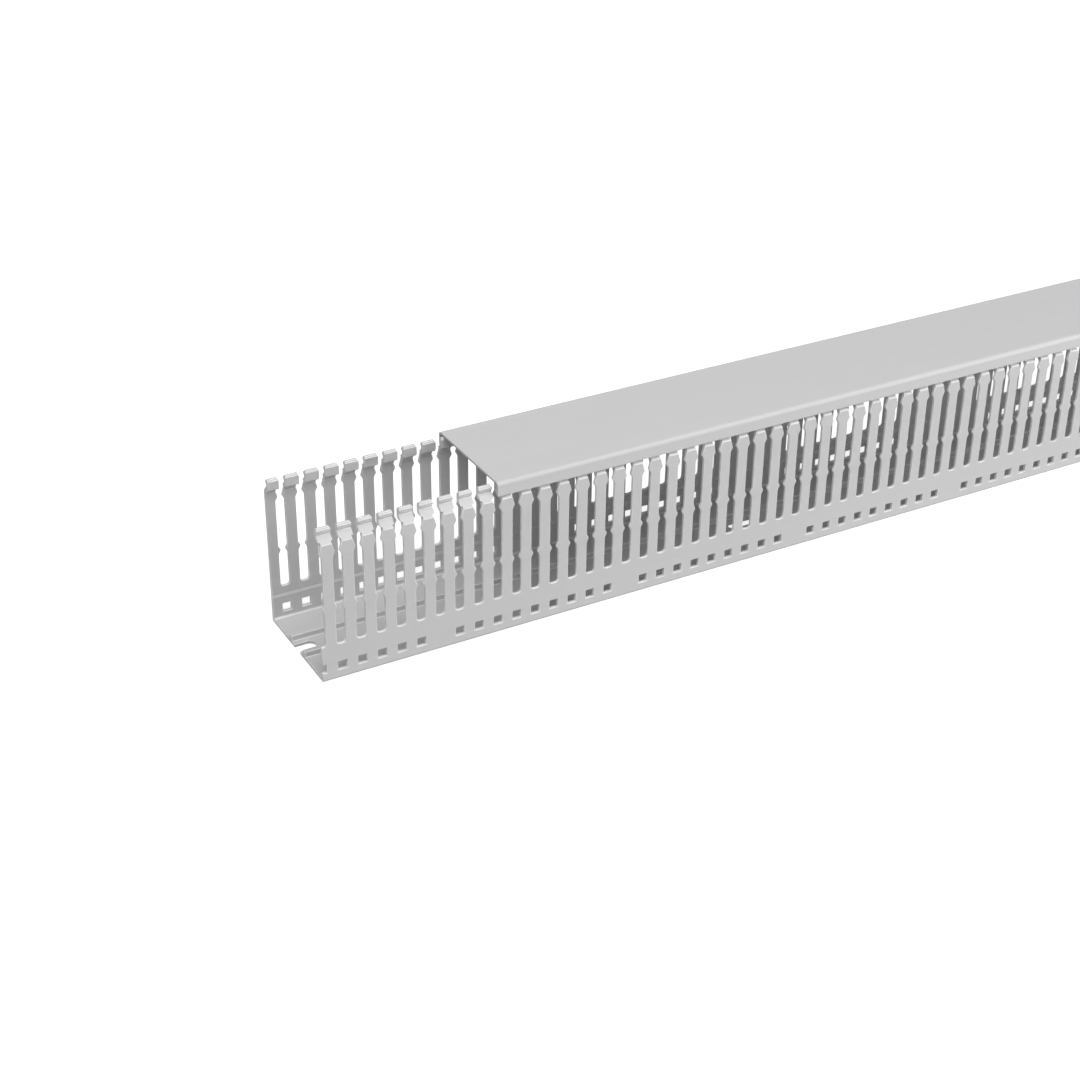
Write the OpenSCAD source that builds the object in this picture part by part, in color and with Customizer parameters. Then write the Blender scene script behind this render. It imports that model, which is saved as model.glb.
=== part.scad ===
// Slotted wire duct: a rigid PVC channel with finger walls and its clip-on cover.
// X runs along the duct, Y across it, Z up. The origin is on the underside of the
// base, midway along the channel and midway between its walls, where the middle
// fixing slot is. Units are millimetres.

/* [Duct] */
// Length of the channel and of its cover, as sold
duct_l = 1000; // [500:500:2000]
// Width of the base, outside
duct_w = 60; // [60:5:120]
// Height over the closed cover
duct_h = 80; // [80:5:120]
// Thickness of the base
base_t = 1.8; // [1.6:0.1:2.2]
// Thickness of the wall below the break-off line
foot_t = 2.1; // [1.9:0.1:2.4]
// Thickness of the fingers
finger_t = 1.6; // [1.4:0.1:1.7]
// How far the cover stands back from the channel's end
cover_setback = 90; // [0:10:200]

/* [Finger walls] */
// Distance from one slot to the next
pitch = 10; // [9:0.5:12.5]
// Width of a slot between two fingers
slot_w = 4.6; // [4:0.1:5]
// Height of the slots' floor above the underside
slot_floor = 18.7; // [17:0.1:22]
// Gap left between the lower pair of hips
low_hip_gap = 2.4; // [2:0.1:3]
// Height of the lower pair of hips
low_hip_z = 38.2; // [32:0.2:42]
// Gap left between the upper pair of hips
high_hip_gap = 2.2; // [1.8:0.1:3]
// Gap between the beads of two fingers
bead_gap = 3; // [2.6:0.1:3.6]
// Width of the notch under a bead, from finger to finger
notch_w = 5.4; // [4.8:0.1:6]
// How far the far wall's slots are staggered against the near wall's
stagger = 2.8; // [0:0.1:4]

/* [Wall holes] */
// Side of a square hole
hole_w = 4.5; // [3:0.1:5]
// Height of the row of square holes above the underside
hole_z = 7; // [6:0.2:8]
// Number of pitches in which the near wall leaves one hole out
hole_group = 10; // [5:1:20]

/* [Base] */
// Length of a fixing slot, end to end
fix_l = 19; // [10:1:30]
// Width of a fixing slot
fix_w = 6.5; // [4.5:0.1:7]
// Distance between fixing slots along the duct
fix_pitch = 250; // [50:50:500]
// Distance of each stiffening rib from the centre line
rib_y = 7.8; // [6:0.1:12]
// Width of a stiffening rib
rib_w = 3.4; // [2:0.1:5]
// Height of a stiffening rib above the base
rib_h = 2.7; // [1:0.1:3]

/* [Cover] */
// Thickness of the cover's top
top_t = 1.2; // [1:0.1:1.5]
// Thickness of the cover's skirts
skirt_t = 1.2; // [1:0.1:1.4]
// Depth of the skirts, from the top of the cover
skirt_h = 7.1; // [6.8:0.1:7.3]
// Radius of the cover's long outer edges
edge_r = 2; // [1.5:0.1:2.5]
// Play between the cover and the fingers
play = 0.3; // [0.25:0.05:0.35]

/* [Hidden] */
pvc = [0.78, 0.78, 0.78];
past = 1;                          // how far a cutter runs past what it cuts
half_w = duct_w / 2;
left_x = -duct_l / 2;              // the channel's left end
slots = floor(duct_l / pitch);     // number of pitches along the duct
skipped = 6;                       // pitch of each group that has no hole in the near wall

// wall section, all heights above the underside
corner_r = 1.2;                    // outer corner between base and wall
fillet = 0.5;                      // corner between base and wall, inside
break_z = 13.4;                    // foot of the break-off ledge
ledge_h = 1.2;                     // height of the break-off ledge
shoulder_z = duct_h - 8.8;         // where a finger's outer face starts to slope inward
shoulder_h = 3.6;                  // height of that slope
recess_y = half_w - 3.4;           // outer face of a finger beside the cover's hook
crease_z = duct_h - 10.6;          // where a finger's inner face starts to slope inward
crease_h = 3.8;                    // height of that slope
bead_z = duct_h - 4.1;             // underside of the bead
bead_out = 0.8;                    // how far the bead stands out over the recess
bead_slope = 0.4;                  // height over which its underside slopes
bead_w = 2.9;                      // thickness of the bead
bead_top = duct_h - top_t - play;  // crown of the bead
bead_y = recess_y + bead_out;      // outer face of the bead
bead_r = bead_w / 2;
rib_draft = 0.3;                   // how much each side of a rib slopes in

// cover section, flush with the walls
skirt_y = half_w - skirt_t;        // inner face of the skirt
skirt_z = duct_h - skirt_h;        // lower edge of the skirt
skirt_tip = 0.8;                   // thickness of the skirt at its lower edge
skirt_edge = 0.2;                  // chamfer on the skirt's outer lower edge
hook_y = recess_y + play;          // tip of the hook
hook_z = bead_z - play;            // catching face of the hook
hook_t = 0.4;                      // height of the hook's blunt tip
inner_r = 0.8;                     // inside corner of the cover

// hip outline
hip_rise = 2.2;                    // height over which a hip grows from the finger
high_hip_z = duct_h - 13.3;        // height of the upper hips
notch_z = duct_h - 7.8;            // top of the notch, under the bead in outline
bead_corner = 1.2;                 // chamfer on the bead's shoulders in outline

// cutters of the walls
cut_y = half_w - 2;                // their middle, across the duct
cut_t = 10;                        // their length, across the duct

// points of an arc about [x, y], from angle a to angle b
function arc(x, y, r, a, b, n) = [for (i = [0:n]) [
    x + r * cos(a + (b - a) * i / n), y + r * sin(a + (b - a) * i / n)]];

// the same outline on the other side of the second axis, in reverse order
function mirrored(p) = [for (i = [len(p) - 1:-1:0]) [-p[i][0], p[i][1]]];

// right half of the channel's section, from the underside round to the rib
wall_half = concat(
    arc(half_w - corner_r, corner_r, corner_r, -90, 0, 3),
    [[half_w, shoulder_z], [recess_y, shoulder_z + shoulder_h],
     [recess_y, bead_z], [bead_y, bead_z + bead_slope]],
    arc(bead_y - bead_r, bead_top - bead_r, bead_r, 15, 165, 3),
    [[bead_y - bead_w, crease_z + crease_h],
     [half_w - finger_t, crease_z],
     [half_w - finger_t, break_z + ledge_h], [half_w - foot_t, break_z],
     [half_w - foot_t, base_t + fillet], [half_w - foot_t - fillet, base_t]]);
rib_half = [
    [rib_y + rib_w / 2, base_t], [rib_y + rib_w / 2 - rib_draft, base_t + rib_h],
    [rib_y - rib_w / 2 + rib_draft, base_t + rib_h], [rib_y - rib_w / 2, base_t]];
channel_section = concat(wall_half, rib_half, mirrored(concat(wall_half, rib_half)));

// right half of one slot, from the middle of its floor to above the bead
slot_half = [
    [slot_w / 2, slot_floor], [slot_w / 2, low_hip_z - hip_rise],
    [low_hip_gap / 2, low_hip_z], [slot_w / 2, low_hip_z + hip_rise],
    [slot_w / 2, high_hip_z - hip_rise], [high_hip_gap / 2, high_hip_z],
    [notch_w / 2, notch_z], [bead_gap / 2, notch_z],
    [bead_gap / 2, bead_top - bead_corner],
    [bead_gap / 2 + bead_corner, bead_top + past]];
slot_outline = concat(slot_half, mirrored(slot_half));

// right half of the cover's section, from the top round to the inside
cover_half = concat(
    [[skirt_y, duct_h - top_t - inner_r],
     [skirt_y, hook_z], [hook_y, hook_z], [hook_y, hook_z - hook_t],
     [half_w - skirt_tip, skirt_z], [half_w - skirt_edge, skirt_z],
     [half_w, skirt_z + skirt_edge]],
    arc(half_w - edge_r, duct_h - edge_r, edge_r, 0, 90, 4));
cover_section = concat(
    [[skirt_y - inner_r, duct_h - top_t]], cover_half,
    mirrored(cover_half), [[inner_r - skirt_y, duct_h - top_t]]);

// extrudes a section drawn in Y and Z along X
module along_x(length, section) {
    rotate([90, 0, 90])
        linear_extrude(length)
            polygon(section);
}

// a cutter drawn in X and Z that passes through one wall, x from the left end;
// side is -1 for the near wall and 1 for the far wall
module wall_cutter(x, side, outline) {
    translate([left_x + x, side * cut_y + cut_t / 2, 0])
        rotate([90, 0, 0])
            linear_extrude(cut_t)
                polygon(outline);
}

square_hole = [
    [-hole_w / 2, hole_z - hole_w / 2], [hole_w / 2, hole_z - hole_w / 2],
    [hole_w / 2, hole_z + hole_w / 2], [-hole_w / 2, hole_z + hole_w / 2]];

// slots and square holes of the near wall; both ends are sawn through a slot
module near_wall_cuts() {
    for (k = [0:slots])
        wall_cutter(k * pitch, -1, slot_outline);
    for (k = [0:slots])
        if (k % hole_group != skipped)
            wall_cutter(k * pitch, -1, square_hole);
}

// slots and square holes of the far wall, which ends on a half-open slot
module far_wall_cuts() {
    for (k = [1:slots - 1])
        wall_cutter(k * pitch - stagger, 1, slot_outline);
    for (k = [1:slots - 1])
        wall_cutter(k * pitch - stagger, 1, square_hole);
    translate([duct_l + left_x - stagger - slot_w / 2, cut_y - cut_t / 2, slot_floor])
        cube([pitch, cut_t, duct_h]);
}

// round-ended slots for the fixing screws, along the centre line of the base
module fixing_slots() {
    run = fix_l - fix_w;
    for (x = [0:fix_pitch:duct_l])
        translate([left_x + x, 0, -past]) {
            for (end = [-1, 1])
                translate([end * run / 2, 0, 0])
                    cylinder(d = fix_w, h = base_t + 2 * past, $fn = 48);
            translate([-run / 2, -fix_w / 2, 0])
                cube([run, fix_w, base_t + 2 * past]);
        }
}

module channel() {
    color(pvc)
        difference() {
            translate([left_x, 0, 0])
                along_x(duct_l, channel_section);
            near_wall_cuts();
            far_wall_cuts();
            fixing_slots();
        }
}

module cover() {
    color(pvc)
        translate([left_x + cover_setback, 0, 0])
            along_x(duct_l, cover_section);
}

channel();
cover();
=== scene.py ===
"""Slotted wire duct: the dressed channel and its clip-on cover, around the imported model."""

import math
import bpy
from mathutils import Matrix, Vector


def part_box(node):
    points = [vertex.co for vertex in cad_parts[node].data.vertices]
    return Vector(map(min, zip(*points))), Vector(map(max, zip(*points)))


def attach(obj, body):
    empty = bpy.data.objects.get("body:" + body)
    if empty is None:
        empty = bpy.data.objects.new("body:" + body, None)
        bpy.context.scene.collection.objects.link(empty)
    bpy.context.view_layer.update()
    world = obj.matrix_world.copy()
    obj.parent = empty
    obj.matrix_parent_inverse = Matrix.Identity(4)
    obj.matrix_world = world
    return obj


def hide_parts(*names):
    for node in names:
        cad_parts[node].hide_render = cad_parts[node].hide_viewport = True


bl_info = {
    "name": "Slotted Wire Duct",
    "version": (1, 0, 0),
    "blender": (4, 5, 0),
    "location": "View3D > Sidebar > Wire Duct",
    "description": "Dresses the packed wire duct in extruded grey PVC and sets its stage",
    "category": "Object",
}

import bmesh
import bpy
from bpy.props import FloatProperty, FloatVectorProperty, IntProperty, PointerProperty
from mathutils import Matrix, Vector

MM = 0.001

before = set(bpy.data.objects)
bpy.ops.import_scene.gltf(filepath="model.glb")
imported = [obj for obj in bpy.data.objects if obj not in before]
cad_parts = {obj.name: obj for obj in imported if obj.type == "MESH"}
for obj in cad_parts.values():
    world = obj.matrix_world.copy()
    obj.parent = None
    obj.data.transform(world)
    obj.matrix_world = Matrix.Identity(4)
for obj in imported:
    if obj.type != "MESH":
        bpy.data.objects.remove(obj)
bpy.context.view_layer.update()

CHANNEL_LOW, CHANNEL_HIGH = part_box("channel")
HALF_WIDTH = CHANNEL_HIGH.y

# channel
WALL_DEPTH = 3 * MM  # a wall's cuts lie within this depth from its outer face
SLOT_FLOOR = 18.7 * MM  # height of the slots' floor above the underside
CORNER_STEPS = 3  # facets across a slot's rounded lower corner
CUT_AND_HIGHLIGHT_MASK = "punched"  # face attribute: 0 on extruded skin, 1 on punched or sawn plastic and on the rolled edges; it masks the lighter colour, partly whitened plastic and partly painted highlight

# merging the CAD meshes and finding the edges of arcs
MERGE_WITHIN = 0.001 * MM
FLAT_WITHIN = math.radians(1)
SQUARE_FROM = math.radians(80)
ARC_TURN_LEAST = math.radians(5)
ARC_TURN_MOST = math.radians(35)
ARC_FACET_WIDTH = 1.2 * MM

# noise patterns of the plastic: how often they vary along X, Y and Z, per metre
BROAD_LINES = (0.6, 130, 130)
FINE_LINES = (1.5, 900, 900)
CLOUDS = (28, 40, 40)
GRAIN = (2200, 2600, 2600)
# patches of the lighter colour on cut faces and rounded edges, partly whitened plastic and
# partly painted highlight
CUT_AND_HIGHLIGHT_PATCHES = (180, 180, 260)
ROUGHNESS_SPREAD = 0.06
PUNCHED_ROUGHER = 0.15
PVC_IOR = 1.53
PVC_SPECULAR = 0.4
GRAIN_STRENGTH = 0.6

# stage, in metres from the point that the camera looks at
KEY_PLACE = Vector((-0.3, -0.6, 1.6))
KEY_SIZE = 1.6
SIDE_PLACE = Vector((1.3, -1.1, 0.3))
SIDE_TARGET = Vector((0.3, 0, 0))
SIDE_SIZE = 1.0
SENSOR_WIDTH = 36
FLOOR_HALF = 20
FLOOR_GREY = 0.5
FLOOR_GLOW = 0.78  # what turns the floor white for rays that see the backdrop
FLOOR_ROUGHNESS = 0.9


# ---------------------------------------------------------------- properties


class DuctPieceProperties(bpy.types.PropertyGroup):
    """Sizes of the small roundings that the extrusion and the punch leave."""

    punched_edge: FloatProperty(
        name="Punched edge",
        description="Width of the rolled edge round every slot, hole and finger",
        default=0.3 * MM,
        min=0.05 * MM,
        max=0.4 * MM,
        subtype="DISTANCE",
        unit="LENGTH",
        precision=5,
    )
    slot_corner: FloatProperty(
        name="Slot corner",
        description="Radius of the rounded lower corners of the slots",
        default=1.4 * MM,
        min=0.2 * MM,
        max=2.0 * MM,
        subtype="DISTANCE",
        unit="LENGTH",
        precision=5,
    )
    cover_edge: FloatProperty(
        name="Cover edge",
        description="Width of the rounding along the edges of the cover",
        default=0.15 * MM,
        min=0.05 * MM,
        max=0.3 * MM,
        subtype="DISTANCE",
        unit="LENGTH",
        precision=5,
    )
    edge_steps: IntProperty(
        name="Edge steps",
        description="Number of facets across a rounded edge",
        default=2,
        min=1,
        max=3,
    )
    sharp_from: FloatProperty(
        name="Sharp from",
        description="Edges that turn by more than this are rounded",
        default=math.radians(35),
        min=math.radians(20),
        max=math.radians(80),
        subtype="ANGLE",
        unit="ROTATION",
    )


class DuctFinishProperties(bpy.types.PropertyGroup):
    """Colours and texture of the grey PVC."""

    channel_colour: FloatVectorProperty(
        name="Channel colour",
        description="Colour of the channel's extruded skin",
        default=(0.56, 0.56, 0.56),
        min=0.0,
        max=1.0,
        size=3,
        subtype="COLOR",
    )
    cover_colour: FloatVectorProperty(
        name="Cover colour",
        description="Colour of the cover's extruded skin",
        default=(0.58, 0.58, 0.58),
        min=0.0,
        max=1.0,
        size=3,
        subtype="COLOR",
    )
    # lighter colour of cut faces and rounded edges: partly whitened plastic, partly painted
    # highlight along the lit rims
    cut_and_highlight_colour: FloatVectorProperty(
        name="Punched colour",
        description="Colour of plastic that was punched or sawn through",
        default=(0.8, 0.8, 0.8),
        min=0.0,
        max=1.0,
        size=3,
        subtype="COLOR",
    )
    roughness: FloatProperty(
        name="Roughness",
        description="Roughness of the extruded skin",
        default=0.5,
        min=0.0,
        max=1.0,
        subtype="FACTOR",
    )
    streak_contrast: FloatProperty(
        name="Streaks",
        description="Strength of the lines that the die draws along the duct",
        default=0.035,
        min=0.0,
        max=0.2,
        subtype="FACTOR",
    )
    grain_height: FloatProperty(
        name="Grain height",
        description="Height of the skin's fine grain",
        default=0.02 * MM,
        min=0.0,
        max=0.1 * MM,
        subtype="DISTANCE",
        unit="LENGTH",
        precision=6,
    )


class DuctStageProperties(bpy.types.PropertyGroup):
    """Camera, lamps and sky."""

    azimuth: FloatProperty(
        name="Azimuth",
        description="Direction from which the camera sees the duct, from its near side",
        default=math.radians(-29.31),
        subtype="ANGLE",
        unit="ROTATION",
    )
    elevation: FloatProperty(
        name="Elevation",
        description="Height of the camera above the horizon",
        default=math.radians(30.13),
        subtype="ANGLE",
        unit="ROTATION",
    )
    roll: FloatProperty(
        name="Roll",
        description="Tilt of the camera about its line of sight",
        default=math.radians(0.54),
        subtype="ANGLE",
        unit="ROTATION",
    )
    distance: FloatProperty(
        name="Distance",
        description="Distance from the camera to the point that it looks at",
        default=975.5 * MM,
        min=0.3,
        subtype="DISTANCE",
        unit="LENGTH",
    )
    aim_in: FloatProperty(
        name="Aim from the end",
        description="How far in from the channel's open end the camera looks",
        default=129 * MM,
        subtype="DISTANCE",
        unit="LENGTH",
    )
    aim_height: FloatProperty(
        name="Aim height",
        description="Height above the floor at which the camera looks",
        default=24.4 * MM,
        subtype="DISTANCE",
        unit="LENGTH",
    )
    lens: FloatProperty(
        name="Lens",
        description="Focal length on a 36 mm wide sensor",
        default=66.79,
        min=20.0,
        max=200.0,
        subtype="DISTANCE_CAMERA",
        unit="CAMERA",
    )
    sky_light: FloatProperty(
        name="Sky light",
        description="Strength of the even light from all around",
        default=0.12,
        min=0.0,
        max=2.0,
    )
    key_power: FloatProperty(
        name="Key power",
        description="Power of the large soft lamp above",
        default=30.0,
        min=0.0,
        max=200.0,
        subtype="POWER",
        unit="POWER",
    )
    side_power: FloatProperty(
        name="Side power",
        description="Power of the soft lamp in front, to the right",
        default=18.5,
        min=0.0,
        max=200.0,
        subtype="POWER",
        unit="POWER",
    )


def piece_settings():
    return bpy.context.scene.duct_pieces


def finish_settings():
    return bpy.context.scene.duct_finish


def stage_settings():
    return bpy.context.scene.duct_stage


# ---------------------------------------------------------------- meshes


def merged_copy(node_name):
    """A bmesh of a CAD node with its loose triangles merged and its flat faces whole."""
    shell = bmesh.new()
    shell.from_mesh(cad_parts[node_name].data)
    bmesh.ops.remove_doubles(shell, verts=shell.verts, dist=MERGE_WITHIN)
    bmesh.ops.dissolve_limit(
        shell,
        angle_limit=FLAT_WITHIN,
        use_dissolve_boundaries=False,
        verts=shell.verts,
        edges=shell.edges,
    )
    return shell


def bevelled(shell, edges, width, steps):
    """Rounds these edges and returns the new faces."""
    made = bmesh.ops.bevel(
        shell,
        geom=edges,
        offset=width,
        offset_type="OFFSET",
        segments=steps,
        profile=0.5,
        affect="EDGES",
        clamp_overlap=False,
        material=-1,
        loop_slide=True,
        miter_outer="SHARP",
        miter_inner="SHARP",
    )
    return made["faces"]


def soften_sharp_edges(shell, width):
    """Rounds every sharp edge, shades the new faces smooth and returns them."""
    sizes = piece_settings()
    sharp = [
        edge
        for edge in shell.edges
        if edge.is_manifold and edge.calc_face_angle() > sizes.sharp_from
    ]
    made = bevelled(shell, sharp, width, sizes.edge_steps)
    for face in made:
        face.smooth = True
    return made


def slot_floor_corners(shell):
    """Edges where a slot's floor meets the sides of its fingers."""
    corners = []
    for edge in shell.edges:
        if not edge.is_manifold or edge.calc_face_angle() < SQUARE_FROM:
            continue
        first, second = (vert.co for vert in edge.verts)
        across = abs((second - first).normalized().y) > 0.99
        in_wall = abs(first.y) > HALF_WIDTH - WALL_DEPTH
        on_floor = abs(first.z - SLOT_FLOOR) < 0.05 * MM
        hollow = edge.calc_face_angle_signed() < 0
        if across and in_wall and on_floor and hollow:
            corners.append(edge)
    return corners


def smooth_arcs(shell):
    """Shades the narrow facets of the drawn arcs as one round surface."""
    for face in shell.faces:
        longest = max(edge.calc_length() for edge in face.edges)
        if face.calc_area() / longest < ARC_FACET_WIDTH:
            soft = [
                edge
                for edge in face.edges
                if edge.is_manifold
                and ARC_TURN_LEAST < edge.calc_face_angle() < ARC_TURN_MOST
            ]
            face.smooth = len(soft) > 1


def mark_cut_faces(shell):
    """Adds the punched attribute and sets it on the faces that a punch or saw made; it masks
    the lighter colour, which is partly painted highlight.
    """
    punched = shell.faces.layers.float.new(CUT_AND_HIGHLIGHT_MASK)
    for face in shell.faces:
        in_wall = abs(face.calc_center_median().y) > HALF_WIDTH - WALL_DEPTH
        through_wall = in_wall and abs(face.normal.y) < 0.5
        sawn = abs(face.normal.x) > 0.9
        underside = face.normal.z <= -0.9
        face[punched] = 1.0 if sawn or (through_wall and not underside) else 0.0
    return punched


def finished_piece(name, shell, material, node_name, body):
    """Turns a bmesh into the piece that stands for a CAD node and rides on its body."""
    mesh = bpy.data.meshes.new(name)
    shell.to_mesh(mesh)
    shell.free()
    mesh.materials.append(material)
    piece = bpy.data.objects.new(name, mesh)
    bpy.context.scene.collection.objects.link(piece)
    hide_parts(node_name)
    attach(piece, body)


# ---------------------------------------------------------------- shader nodes


def put(tree, socket, value):
    """Sets a socket to a plain value, or links another node's output to it."""
    if isinstance(value, bpy.types.NodeSocket):
        tree.links.new(value, socket)
    else:
        socket.default_value = value


def math_node(tree, operation, first, second):
    node = tree.nodes.new("ShaderNodeMath")
    node.operation = operation
    put(tree, node.inputs[0], first)
    put(tree, node.inputs[1], second)
    return node.outputs["Value"]


def weighted(tree, first, second, share):
    """The first value's share of it plus the rest of the second value."""
    return math_node(
        tree,
        "ADD",
        math_node(tree, "MULTIPLY", first, share),
        math_node(tree, "MULTIPLY", second, 1 - share),
    )


def noise_node(tree, place, pattern, detail):
    """Noise between 0 and 1 on object coordinates, stretched along each axis."""
    mapping = tree.nodes.new("ShaderNodeMapping")
    mapping.inputs["Scale"].default_value = pattern
    tree.links.new(place, mapping.inputs["Vector"])
    noise = tree.nodes.new("ShaderNodeTexNoise")
    noise.inputs["Scale"].default_value = 1
    noise.inputs["Detail"].default_value = detail
    tree.links.new(mapping.outputs["Vector"], noise.inputs["Vector"])
    return noise.outputs["Fac"]


def range_node(tree, value, low, high, to_low, to_high):
    """Maps a value from low to high onto to_low to to_high, and holds it there."""
    node = tree.nodes.new("ShaderNodeMapRange")
    node.clamp = True
    put(tree, node.inputs["Value"], value)
    put(tree, node.inputs["From Min"], low)
    put(tree, node.inputs["From Max"], high)
    put(tree, node.inputs["To Min"], to_low)
    put(tree, node.inputs["To Max"], to_high)
    return node.outputs["Result"]


def mixed_colour(tree, factor, first, second):
    node = tree.nodes.new("ShaderNodeMix")
    node.data_type = "RGBA"
    put(tree, node.inputs[0], factor)
    put(tree, node.inputs[6], first)
    put(tree, node.inputs[7], second)
    return node.outputs[2]


def shader_group(name, inputs, outputs):
    """An empty shader node group with named sockets, and its input and output nodes."""
    group = bpy.data.node_groups.new(name, "ShaderNodeTree")
    for label, kind, default in inputs:
        socket = group.interface.new_socket(label, in_out="INPUT", socket_type=kind)
        socket.default_value = default
    for label, kind in outputs:
        group.interface.new_socket(label, in_out="OUTPUT", socket_type=kind)
    return group, group.nodes.new("NodeGroupInput"), group.nodes.new("NodeGroupOutput")


# ---------------------------------------------------------------- materials


def extruded_skin_group():
    """Skin of extruded PVC: lines drawn along X by the die, slow mottling, fine grain."""
    name = "extruded skin"
    if name in bpy.data.node_groups:
        return bpy.data.node_groups[name]
    group, given, result = shader_group(
        name,
        (
            ("Colour", "NodeSocketColor", (0.5, 0.5, 0.5, 1)),
            ("Streaks", "NodeSocketFloat", 0.03),
            ("Roughness", "NodeSocketFloat", 0.5),
        ),
        (
            ("Colour", "NodeSocketColor"),
            ("Roughness", "NodeSocketFloat"),
            ("Height", "NodeSocketFloat"),
        ),
    )
    colour, streaks, roughness = (
        given.outputs[label] for label in ("Colour", "Streaks", "Roughness")
    )
    place = group.nodes.new("ShaderNodeTexCoord").outputs["Object"]
    broad = noise_node(group, place, BROAD_LINES, 2)
    fine = noise_node(group, place, FINE_LINES, 2)
    cloud = noise_node(group, place, CLOUDS, 3)
    grain = noise_node(group, place, GRAIN, 2)
    shade = weighted(group, weighted(group, broad, fine, 0.6), cloud, 0.7)

    darkest = math_node(group, "SUBTRACT", 1, streaks)
    lightest = math_node(group, "ADD", 1, streaks)
    tint = group.nodes.new("ShaderNodeVectorMath")
    tint.operation = "SCALE"
    put(group, tint.inputs[0], colour)
    put(group, tint.inputs["Scale"], range_node(group, shade, 0.3, 0.7, darkest, lightest))
    put(group, result.inputs["Colour"], tint.outputs["Vector"])

    glossier = math_node(group, "SUBTRACT", roughness, ROUGHNESS_SPREAD)
    duller = math_node(group, "ADD", roughness, ROUGHNESS_SPREAD)
    put(group, result.inputs["Roughness"], range_node(group, shade, 0.3, 0.7, glossier, duller))
    put(group, result.inputs["Height"], weighted(group, fine, grain, 0.5))
    return group


def pvc_material(name, colour, edge_and_highlight_colour=None):
    """Matt grey PVC. With an edge colour, punched and sawn faces and the rounded edges marked
    with them are lighter and rougher: partly whitened plastic, partly painted highlight along
    the lit rims.
    """
    settings = finish_settings()
    material = bpy.data.materials.new(name)
    material.use_nodes = True
    tree = material.node_tree
    shader = tree.nodes["Principled BSDF"]
    shader.inputs["IOR"].default_value = PVC_IOR
    shader.inputs["Specular IOR Level"].default_value = PVC_SPECULAR

    skin = tree.nodes.new("ShaderNodeGroup")
    skin.node_tree = extruded_skin_group()
    skin.inputs["Colour"].default_value = (*colour, 1)
    skin.inputs["Streaks"].default_value = settings.streak_contrast
    skin.inputs["Roughness"].default_value = settings.roughness

    surface, dullness = skin.outputs["Colour"], skin.outputs["Roughness"]
    if edge_and_highlight_colour is not None:
        # painted highlight: faces marked as cut, and the rounded edges, get the lighter colour
        # in noisy patches; on punched faces it also stands for whitened plastic
        mark = tree.nodes.new("ShaderNodeAttribute")
        mark.attribute_name = CUT_AND_HIGHLIGHT_MASK
        place = tree.nodes.new("ShaderNodeTexCoord").outputs["Object"]
        patches = noise_node(tree, place, CUT_AND_HIGHLIGHT_PATCHES, 2)
        strength = range_node(tree, patches, 0.35, 0.65, 0.55, 1.0)
        cut_and_highlight = math_node(tree, "MULTIPLY", mark.outputs["Fac"], strength)
        surface = mixed_colour(tree, cut_and_highlight, surface, (*edge_and_highlight_colour, 1))
        rougher = math_node(tree, "MULTIPLY", cut_and_highlight, PUNCHED_ROUGHER)
        dullness = math_node(tree, "ADD", dullness, rougher)
    put(tree, shader.inputs["Base Color"], surface)
    put(tree, shader.inputs["Roughness"], dullness)

    bump = tree.nodes.new("ShaderNodeBump")
    bump.inputs["Strength"].default_value = GRAIN_STRENGTH
    bump.inputs["Distance"].default_value = settings.grain_height
    put(tree, bump.inputs["Height"], skin.outputs["Height"])
    put(tree, shader.inputs["Normal"], bump.outputs["Normal"])
    return material


# ---------------------------------------------------------------- stage


def soft_lamp(name, place, target, size, power):
    """A square area lamp that faces a point."""
    data = bpy.data.lights.new(name, "AREA")
    data.shape = "SQUARE"
    data.size = size
    data.energy = power
    lamp = bpy.data.objects.new(name, data)
    lamp.location = place
    lamp.rotation_euler = (target - place).to_track_quat("-Z", "Y").to_euler()
    bpy.context.scene.collection.objects.link(lamp)


def backdrop_rays(tree):
    """1 for camera, glossy and transmission rays, which see the white backdrop."""
    rays = tree.nodes.new("ShaderNodeLightPath")
    seen = math_node(
        tree, "MAXIMUM", rays.outputs["Is Camera Ray"], rays.outputs["Is Glossy Ray"]
    )
    return math_node(tree, "MAXIMUM", seen, rays.outputs["Is Transmission Ray"])


def white_world(strength):
    """Even sky light, which the camera sees as white."""
    world = bpy.data.worlds.new("studio")
    bpy.context.scene.world = world
    world.use_nodes = True
    tree = world.node_tree
    background = tree.nodes["Background"]
    background.inputs["Color"].default_value = (1, 1, 1, 1)
    level = range_node(tree, backdrop_rays(tree), 0, 1, strength, 1)
    put(tree, background.inputs["Strength"], level)


def floor_material():
    """A pale floor that the camera sees as white, except in the object's shadow."""
    material = bpy.data.materials.new("pale floor")
    material.use_nodes = True
    tree = material.node_tree
    shader = tree.nodes["Principled BSDF"]
    shader.inputs["Base Color"].default_value = (FLOOR_GREY, FLOOR_GREY, FLOOR_GREY, 1)
    shader.inputs["Roughness"].default_value = FLOOR_ROUGHNESS
    shader.inputs["Specular IOR Level"].default_value = 0
    shader.inputs["Emission Color"].default_value = (1, 1, 1, 1)
    glow = math_node(tree, "MULTIPLY", backdrop_rays(tree), FLOOR_GLOW)
    put(tree, shader.inputs["Emission Strength"], glow)
    return material


def pale_floor():
    """A wide flat floor under the duct."""
    bed = bmesh.new()
    bmesh.ops.create_grid(bed, x_segments=1, y_segments=1, size=FLOOR_HALF)
    mesh = bpy.data.meshes.new("floor")
    bed.to_mesh(mesh)
    bed.free()
    mesh.materials.append(floor_material())
    floor = bpy.data.objects.new("floor", mesh)
    bpy.context.scene.collection.objects.link(floor)


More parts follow.
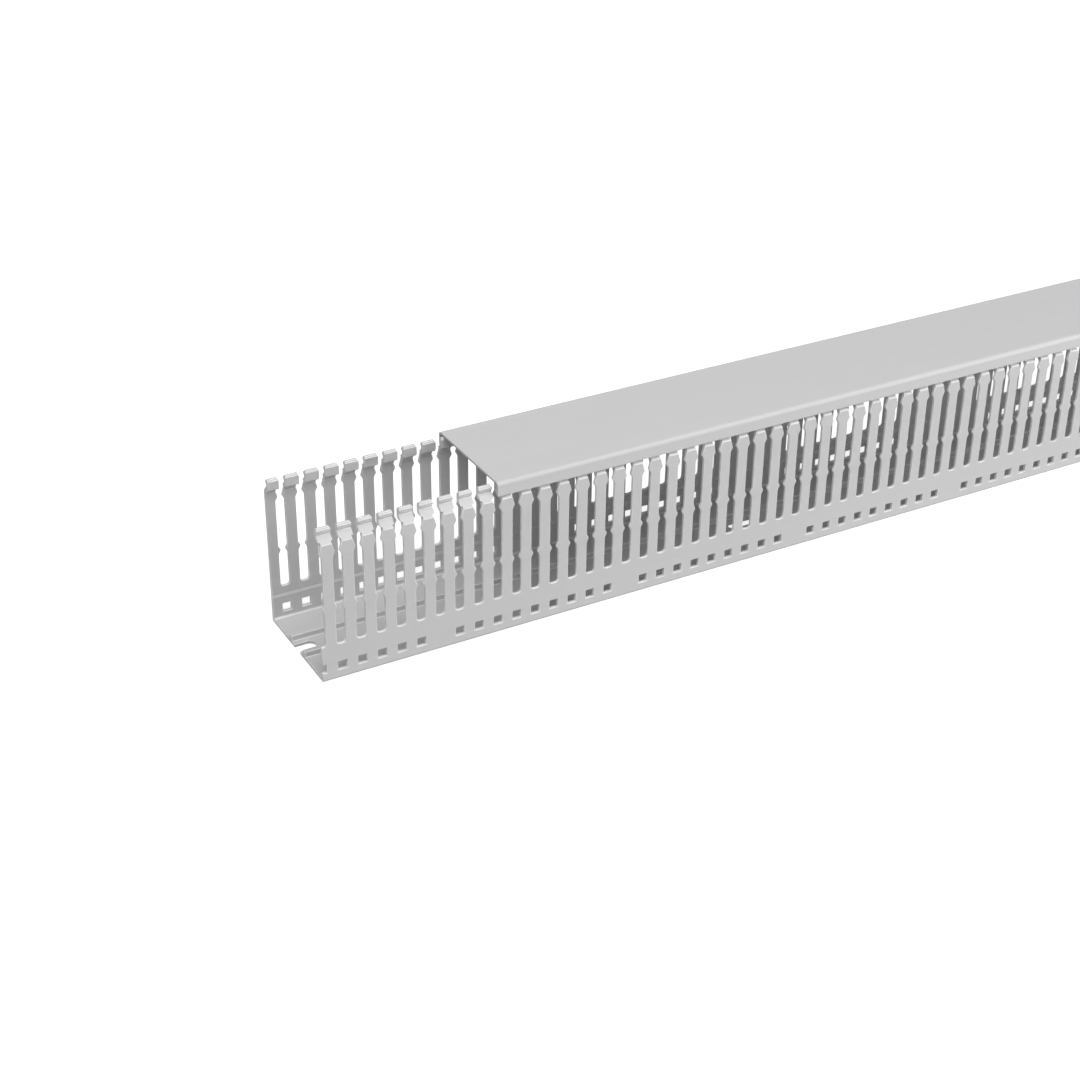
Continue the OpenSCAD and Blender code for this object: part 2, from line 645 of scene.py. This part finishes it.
def aimed_camera(aim):
    """Makes the scene's camera, which looks at a point from the stage's angles."""
    stage = stage_settings()
    turn = (
        Matrix.Rotation(stage.azimuth, 3, "Z")
        @ Matrix.Rotation(math.pi / 2 - stage.elevation, 3, "X")
        @ Matrix.Rotation(stage.roll, 3, "Z")
    )
    data = bpy.data.cameras.new("camera")
    data.lens = stage.lens
    data.sensor_width = SENSOR_WIDTH
    camera = bpy.data.objects.new("camera", data)
    camera.location = aim + turn @ Vector((0, 0, stage.distance))
    camera.rotation_euler = turn.to_euler()
    bpy.context.scene.collection.objects.link(camera)
    bpy.context.scene.camera = camera


# ---------------------------------------------------------------- operators


class WIREDUCT_OT_channel(bpy.types.Operator):
    """Dress the channel: rounded slots, rolled punched edges and grey PVC"""

    bl_idname = "wireduct.channel"
    bl_label = "Channel"

    def execute(self, context):
        sizes, finish = piece_settings(), finish_settings()
        shell = merged_copy("channel")
        bevelled(shell, slot_floor_corners(shell), sizes.slot_corner, CORNER_STEPS)
        smooth_arcs(shell)
        punched = mark_cut_faces(shell)
        # every rounded edge gets the lighter cut colour: a painted highlight along the lit rims
        for face in soften_sharp_edges(shell, sizes.punched_edge):
            face[punched] = 1.0
        material = pvc_material("channel pvc", finish.channel_colour, finish.cut_and_highlight_colour)
        finished_piece("dressed_channel", shell, material, "channel", "channel")
        return {"FINISHED"}


class WIREDUCT_OT_cover(bpy.types.Operator):
    """Dress the clip-on cover: softened edges and grey PVC"""

    bl_idname = "wireduct.cover"
    bl_label = "Cover"

    def execute(self, context):
        sizes, finish = piece_settings(), finish_settings()
        shell = merged_copy("cover")
        smooth_arcs(shell)
        soften_sharp_edges(shell, sizes.cover_edge)
        material = pvc_material("cover pvc", finish.cover_colour)
        finished_piece("dressed_cover", shell, material, "cover", "cover")
        return {"FINISHED"}


class WIREDUCT_OT_stage(bpy.types.Operator):
    """Set the camera, the soft lamps and the pale floor"""

    bl_idname = "wireduct.stage"
    bl_label = "Stage"

    def execute(self, context):
        stage = stage_settings()
        aim = Vector((CHANNEL_LOW.x + stage.aim_in, 0, stage.aim_height))
        aimed_camera(aim)
        soft_lamp("key", aim + KEY_PLACE, aim, KEY_SIZE, stage.key_power)
        soft_lamp("side", aim + SIDE_PLACE, aim + SIDE_TARGET, SIDE_SIZE, stage.side_power)
        white_world(stage.sky_light)
        pale_floor()
        context.scene.view_settings.view_transform = "Standard"
        return {"FINISHED"}


class WIREDUCT_PT_sidebar(bpy.types.Panel):
    """Wire duct pieces and settings"""

    bl_label = "Wire Duct"
    bl_space_type = "VIEW_3D"
    bl_region_type = "UI"
    bl_category = "Wire Duct"

    def draw(self, context):
        column = self.layout.column()
        for operator in OPERATORS:
            column.operator(operator.bl_idname)
        for settings in (piece_settings(), finish_settings(), stage_settings()):
            for key in settings.__annotations__:
                column.prop(settings, key)


OPERATORS = (WIREDUCT_OT_channel, WIREDUCT_OT_cover, WIREDUCT_OT_stage)
SETTINGS = {
    "duct_pieces": DuctPieceProperties,
    "duct_finish": DuctFinishProperties,
    "duct_stage": DuctStageProperties,
}


def register():
    for group in SETTINGS.values():
        bpy.utils.register_class(group)
    for name, group in SETTINGS.items():
        setattr(bpy.types.Scene, name, PointerProperty(type=group))
    for entry in (*OPERATORS, WIREDUCT_PT_sidebar):
        bpy.utils.register_class(entry)


def unregister():
    for entry in reversed((*OPERATORS, WIREDUCT_PT_sidebar)):
        bpy.utils.unregister_class(entry)
    for name in SETTINGS:
        delattr(bpy.types.Scene, name)
    for group in reversed(SETTINGS.values()):
        bpy.utils.unregister_class(group)


def main():
    register()
    bpy.ops.wireduct.channel()
    bpy.ops.wireduct.cover()
    bpy.ops.wireduct.stage()


if __name__ == "__main__":
    main()
